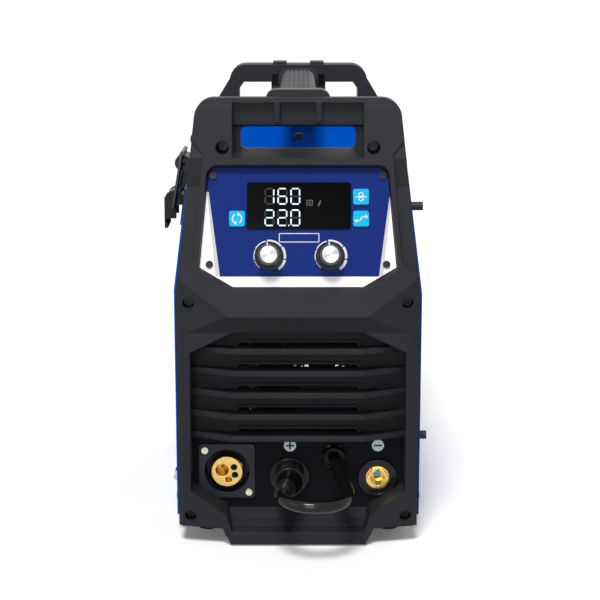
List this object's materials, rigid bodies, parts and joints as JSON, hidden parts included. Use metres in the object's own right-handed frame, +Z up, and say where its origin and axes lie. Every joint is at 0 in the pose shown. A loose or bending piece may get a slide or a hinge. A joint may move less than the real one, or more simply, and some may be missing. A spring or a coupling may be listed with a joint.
{
  "type": "mig welding machine",
  "caption": "Portable wire-feed welding machine with moulded bezels, painted case with a side door, leaning control panel, louvred front, torch and lead sockets, and a top grip.",
  "frame": {"origin": "centre of the footprint at floor level, measured without the polarity lead and its plug", "axes": "+X towards the right as seen from the front, +Y towards the rear, +Z up"},
  "size_m": [0.2472, 0.5146, 0.418],
  "materials": {
    "moulded_black": "fine texture",
    "tray_steel": "satin",
    "blue_paint": "gloss",
    "zinc_steel": "satin",
    "black_plastic": "satin",
    "rubber_black": "matt",
    "grip_grey": "soft",
    "panel_blue": "satin",
    "display_dark": "gloss",
    "board_green": "satin",
    "button_cyan": "satin",
    "cap_aluminium": "turned",
    "navy_plastic": "satin",
    "brass": "satin",
    "gloss_black": "gloss",
    "socket_blue": "satin",
    "lead_rubber": "gloss",
    "fan_black": "satin",
    "rocker_red": "gloss",
    "motor_grey": "satin",
    "knob_red": "satin",
    "sink_aluminium": "satin",
    "copper_core": "varnished"
  },
  "bodies": {
    "case": {"front_bezel": "moulded_black", "rear_bezel": "moulded_black", "base_tray": "tray_steel", "case_cover": "blue_paint", "door_hinges": "zinc_steel", "latch_keepers": "black_plastic", "rubber_feet": "rubber_black", "bezel_screws": "black_plastic", "case_studs": "rubber_black", "handle_grip": "grip_grey", "handle_mount": "black_plastic", "panel_plate": "panel_blue", "panel_screws": "zinc_steel", "display_lens": "display_dark", "display_board": "board_green", "potentiometers": "zinc_steel", "connector_plate": "black_plastic", "euro_flange": "navy_plastic", "euro_body": "brass", "euro_contacts": "black_plastic", "euro_screws": "zinc_steel", "socket_housings": "gloss_black", "socket_inserts": "brass", "socket_stop": "socket_blue", "cable_gland": "gloss_black", "polarity_plug": "lead_rubber", "polarity_lead": "lead_rubber", "rear_panel": "tray_steel", "fan_guard": "zinc_steel", "fan_frame": "fan_black", "switch_body": "black_plastic", "mains_gland": "gloss_black", "gas_inlet": "brass", "centre_partition": "zinc_steel", "feeder_plate": "motor_grey", "feed_motor": "motor_grey", "power_board": "board_green", "heat_sinks": "sink_aluminium", "power_magnetics": "copper_core", "gas_valve": "sink_aluminium"},
    "side_door": {"side_door": "blue_paint", "latch_bases": "black_plastic"},
    "latch_lever_front": {"latch_lever_front": "black_plastic"},
    "latch_lever_rear": {"latch_lever_rear": "black_plastic"},
    "latch_bail_front": {"latch_bail_front": "zinc_steel"},
    "latch_bail_rear": {"latch_bail_rear": "zinc_steel"},
    "button_process": {"button_process": "button_cyan"},
    "button_wire_feed": {"button_wire_feed": "button_cyan"},
    "button_trigger_mode": {"button_trigger_mode": "button_cyan"},
    "knob_left": {"knob_left": "black_plastic", "knob_cap_left": "cap_aluminium"},
    "knob_right": {"knob_right": "black_plastic", "knob_cap_right": "cap_aluminium"},
    "fan": {"fan_rotor": "fan_black"},
    "switch_rocker": {"switch_rocker": "rocker_red"},
    "drive_roll": {"drive_roll": "zinc_steel"},
    "pressure_arm": {"pressure_arm": "motor_grey"},
    "pressure_roll": {"pressure_roll": "zinc_steel"},
    "tension_knob": {"tension_knob": "knob_red"},
    "spool_hub": {"spool_hub": "black_plastic"}
  },
  "joints": [
    {"name": "side_door_hinge", "type": "hinge", "parent": "case", "child": "side_door", "pos_m": [-0.1171, -0.012, 0.038], "axis": [0, -1, 0], "range_deg": [0, 95]},
    {"name": "latch_lever_front_turn", "type": "hinge", "parent": "side_door", "child": "latch_lever_front", "pos_m": [-0.116, -0.117, 0.3086], "axis": [0, 1, 0], "range_deg": [0, 140]},
    {"name": "latch_bail_front_turn", "type": "hinge", "parent": "latch_lever_front", "child": "latch_bail_front", "pos_m": [-0.116, -0.117, 0.3026], "axis": [0, 1, 0], "range_deg": [-140, 0]},
    {"name": "latch_lever_rear_turn", "type": "hinge", "parent": "side_door", "child": "latch_lever_rear", "pos_m": [-0.116, 0.093, 0.3086], "axis": [0, 1, 0], "range_deg": [0, 140]},
    {"name": "latch_bail_rear_turn", "type": "hinge", "parent": "latch_lever_rear", "child": "latch_bail_rear", "pos_m": [-0.116, 0.093, 0.3026], "axis": [0, 1, 0], "range_deg": [-140, 0]},
    {"name": "button_process_press", "type": "slide", "parent": "case", "child": "button_process", "axis": [0, 0.9613, -0.2756], "range_m": [0, 0.0008], "stiffness_N_per_m": 1500, "springref_m": -0.0003},
    {"name": "button_wire_feed_press", "type": "slide", "parent": "case", "child": "button_wire_feed", "axis": [0, 0.9613, -0.2756], "range_m": [0, 0.0008], "stiffness_N_per_m": 1500, "springref_m": -0.0003},
    {"name": "button_trigger_mode_press", "type": "slide", "parent": "case", "child": "button_trigger_mode", "axis": [0, 0.9613, -0.2756], "range_m": [0, 0.0008], "stiffness_N_per_m": 1500, "springref_m": -0.0003},
    {"name": "knob_left_turn", "type": "hinge", "parent": "case", "child": "knob_left", "pos_m": [-0.026, -0.21154, 0.26893], "axis": [0, -0.9613, 0.2756], "range_deg": [-135, 135]},
    {"name": "knob_right_turn", "type": "hinge", "parent": "case", "child": "knob_right", "pos_m": [0.0289, -0.21154, 0.26893], "axis": [0, -0.9613, 0.2756], "range_deg": [-135, 135]},
    {"name": "fan_spin", "type": "hinge", "parent": "case", "child": "fan", "pos_m": [0.036, 0.1553, 0.112], "axis": [0, 1, 0], "continuous": true},
    {"name": "switch_rocker_tilt", "type": "hinge", "parent": "case", "child": "switch_rocker", "pos_m": [0.04, 0.1673, 0.285], "axis": [1, 0, 0], "range_deg": [-24, 0]},
    {"name": "drive_roll_spin", "type": "hinge", "parent": "case", "child": "drive_roll", "pos_m": [-0.0707, -0.077, 0.0485], "axis": [1, 0, 0], "continuous": true},
    {"name": "pressure_arm_lift", "type": "hinge", "parent": "case", "child": "pressure_arm", "pos_m": [-0.0707, -0.105, 0.092], "axis": [1, 0, 0], "range_deg": [0, 45]},
    {"name": "pressure_roll_spin", "type": "hinge", "parent": "pressure_arm", "child": "pressure_roll", "pos_m": [-0.0707, -0.077, 0.0735], "axis": [1, 0, 0], "continuous": true},
    {"name": "tension_knob_turn", "type": "hinge", "parent": "pressure_arm", "child": "tension_knob", "pos_m": [-0.0707, -0.049, 0.11], "axis": [0, 0, 1], "range_deg": [-180, 180]},
    {"name": "spool_hub_spin", "type": "hinge", "parent": "case", "child": "spool_hub", "pos_m": [-0.075, 0.061, 0.178], "axis": [1, 0, 0], "continuous": true}
  ],
  "couplings": [
    {"joint": "latch_bail_front_turn", "follows": "latch_lever_front_turn", "ratio": -1},
    {"joint": "latch_bail_rear_turn", "follows": "latch_lever_rear_turn", "ratio": -1},
    {"joint": "pressure_roll_spin", "follows": "drive_roll_spin", "ratio": -1.2778}
  ]
}
